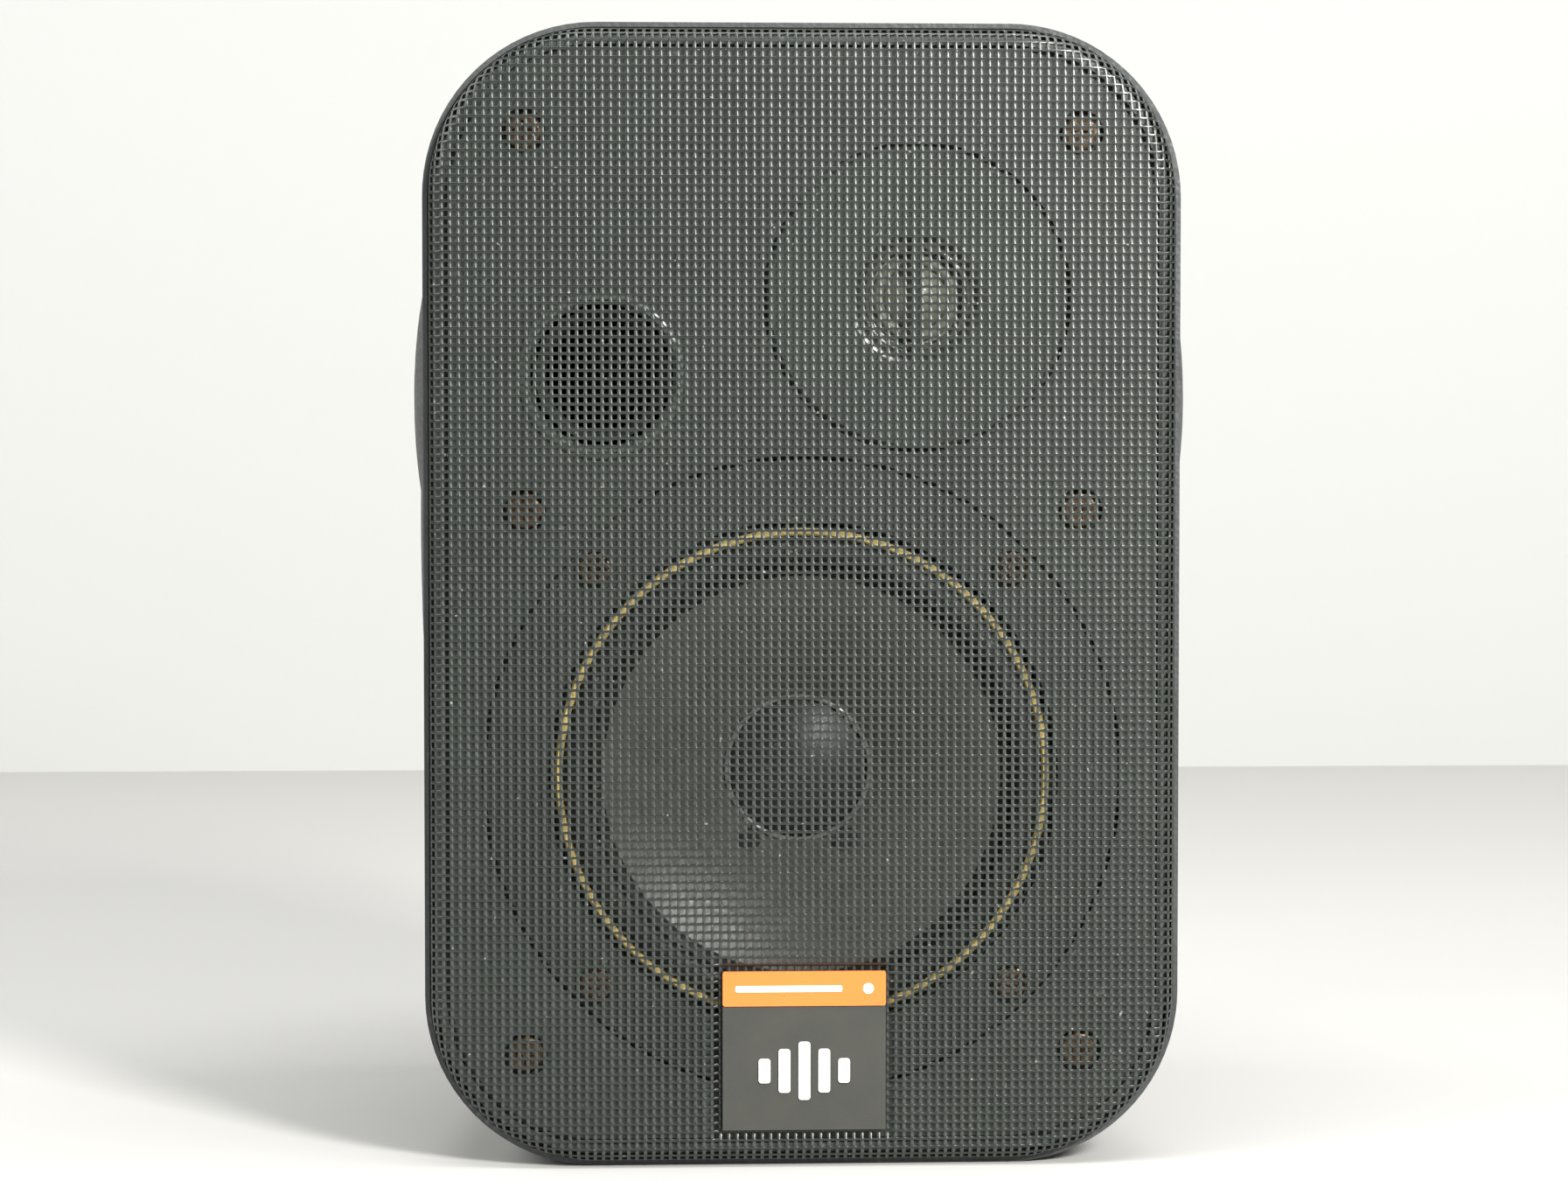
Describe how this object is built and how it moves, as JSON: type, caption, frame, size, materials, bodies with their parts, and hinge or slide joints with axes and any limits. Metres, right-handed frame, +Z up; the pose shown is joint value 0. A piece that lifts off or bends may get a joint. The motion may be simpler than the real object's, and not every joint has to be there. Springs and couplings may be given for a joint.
{
  "type": "bookshelf speaker",
  "caption": "Compact two-way bookshelf loudspeaker: moulded tapered cabinet, perforated front grille, offset dome tweeter, flared port, spring push terminals behind.",
  "frame": {"origin": "middle of the overall box at the surface the speaker stands on", "axes": "+Z up, the grille faces -Y, +X to the right seen from the front"},
  "size_m": [0.1604, 0.143, 0.235],
  "materials": {
    "cabinet_plastic": "fine moulded texture, low sheen",
    "baffle_plastic": "smooth moulded, satin",
    "seal_foam": "closed-cell foam",
    "brown_steel": "yellow-brown passivated, slightly rusty",
    "grille_paint": "satin baked paint",
    "badge_grey": "fine grained",
    "badge_orange": "semi gloss",
    "badge_white": "semi gloss",
    "frame_paint": "satin black",
    "bead_adhesive": "cured khaki adhesive",
    "surround_rubber": "matt",
    "cone_paper": "coated, semi gloss",
    "cap_paper": "coated, satin",
    "dab_adhesive": "gloss",
    "former_foil": "foil",
    "copper_wire": "enamelled copper",
    "spider_cloth": "resin-treated weave",
    "plated_steel": "zinc plated",
    "ferrite": "ground ferrite",
    "fibre_board": "phenolic board",
    "tag_metal": "tinned",
    "lead_braid": "woven tinsel",
    "tweeter_plastic": "satin to gloss",
    "dome_film": "thin formed film",
    "board_laminate": "paper laminate",
    "capacitor_sleeve": "shrink sleeve",
    "resistor_cement": "matt cement",
    "lamp_glass": "clear",
    "terminal_plastic": "moulded",
    "lever_red": "semi gloss",
    "lever_black": "semi gloss",
    "spring_steel": "bright",
    "insert_brass": "turned",
    "wadding": "polyester wadding",
    "wire_jacket": "flexible sleeve"
  },
  "bodies": {
    "cabinet": {"rear_cabinet": "cabinet_plastic", "baffle_gasket": "seal_foam", "front_baffle": "baffle_plastic", "baffle_screws": "brown_steel", "port_tube": "tweeter_plastic", "damping_pad": "wadding", "woofer_basket": "frame_paint", "woofer_gasket": "seal_foam", "surround_bead": "bead_adhesive", "woofer_surround": "surround_rubber", "woofer_spider": "spider_cloth", "woofer_top_plate": "plated_steel", "woofer_magnet": "ferrite", "woofer_pole_plate": "plated_steel", "bucking_magnet": "ferrite", "shield_can": "plated_steel", "woofer_tag_strip": "fibre_board", "woofer_tags": "tag_metal", "woofer_leads": "lead_braid", "woofer_screws": "brown_steel", "tweeter_faceplate": "tweeter_plastic", "tweeter_lock_ring": "tweeter_plastic", "tweeter_surround": "dome_film", "tweeter_top_plate": "plated_steel", "tweeter_magnet": "ferrite", "tweeter_back_plate": "plated_steel", "tweeter_tags": "tag_metal", "crossover_board": "board_laminate", "board_screws": "plated_steel", "woofer_inductor": "copper_wire", "tweeter_inductor": "copper_wire", "crossover_capacitors": "capacitor_sleeve", "crossover_resistor": "resistor_cement", "protection_lamp": "lamp_glass", "terminal_cup": "terminal_plastic", "terminal_gasket": "seal_foam", "terminal_screws": "frame_paint", "terminal_block": "terminal_plastic", "lever_spring_red": "spring_steel", "lever_spring_black": "spring_steel", "wire_contacts": "tag_metal", "mount_insert": "insert_brass", "input_wires": "wire_jacket", "woofer_wires": "wire_jacket", "tweeter_wires": "wire_jacket"},
    "cone_assembly": {"woofer_cone": "cone_paper", "dust_cap": "cap_paper", "lead_dabs": "dab_adhesive", "voice_coil_former": "former_foil", "voice_coil": "copper_wire"},
    "tweeter_diaphragm": {"tweeter_dome": "dome_film", "tweeter_coil": "copper_wire"},
    "grille_assembly": {"grille": "grille_paint", "badge_plate": "badge_grey", "badge_strip": "badge_orange", "badge_mark": "badge_white", "badge_rule": "badge_white"},
    "red_lever": {"lever_red": "lever_red"},
    "black_lever": {"lever_black": "lever_black"}
  },
  "joints": [
    {"name": "cone_excursion", "type": "slide", "parent": "cabinet", "child": "cone_assembly", "axis": [0, -1, 0], "range_m": [-0.0025, 0.0025], "stiffness_N_per_m": 900, "deforming": ["woofer_surround", "woofer_spider", "woofer_leads"]},
    {"name": "tweeter_excursion", "type": "slide", "parent": "cabinet", "child": "tweeter_diaphragm", "axis": [0, -1, 0], "range_m": [-0.0003, 0.0003], "stiffness_N_per_m": 150, "deforming": ["tweeter_surround"]},
    {"name": "red_lever_press", "type": "hinge", "parent": "cabinet", "child": "red_lever", "pos_m": [0.011, 0.0605, 0.058], "axis": [1, 0, 0], "range_deg": [0, 16], "stiffness_Nm_per_rad": 0.03, "springref_deg": -20.05, "deforming": ["lever_spring_red"]},
    {"name": "black_lever_press", "type": "hinge", "parent": "cabinet", "child": "black_lever", "pos_m": [-0.011, 0.0605, 0.058], "axis": [1, 0, 0], "range_deg": [0, 16], "stiffness_Nm_per_rad": 0.03, "springref_deg": -20.05, "deforming": ["lever_spring_black"]},
    {"name": "grille_pull", "type": "slide", "parent": "cabinet", "child": "grille_assembly", "axis": [0, -1, 0], "range_m": [0, 0.014]}
  ]
}
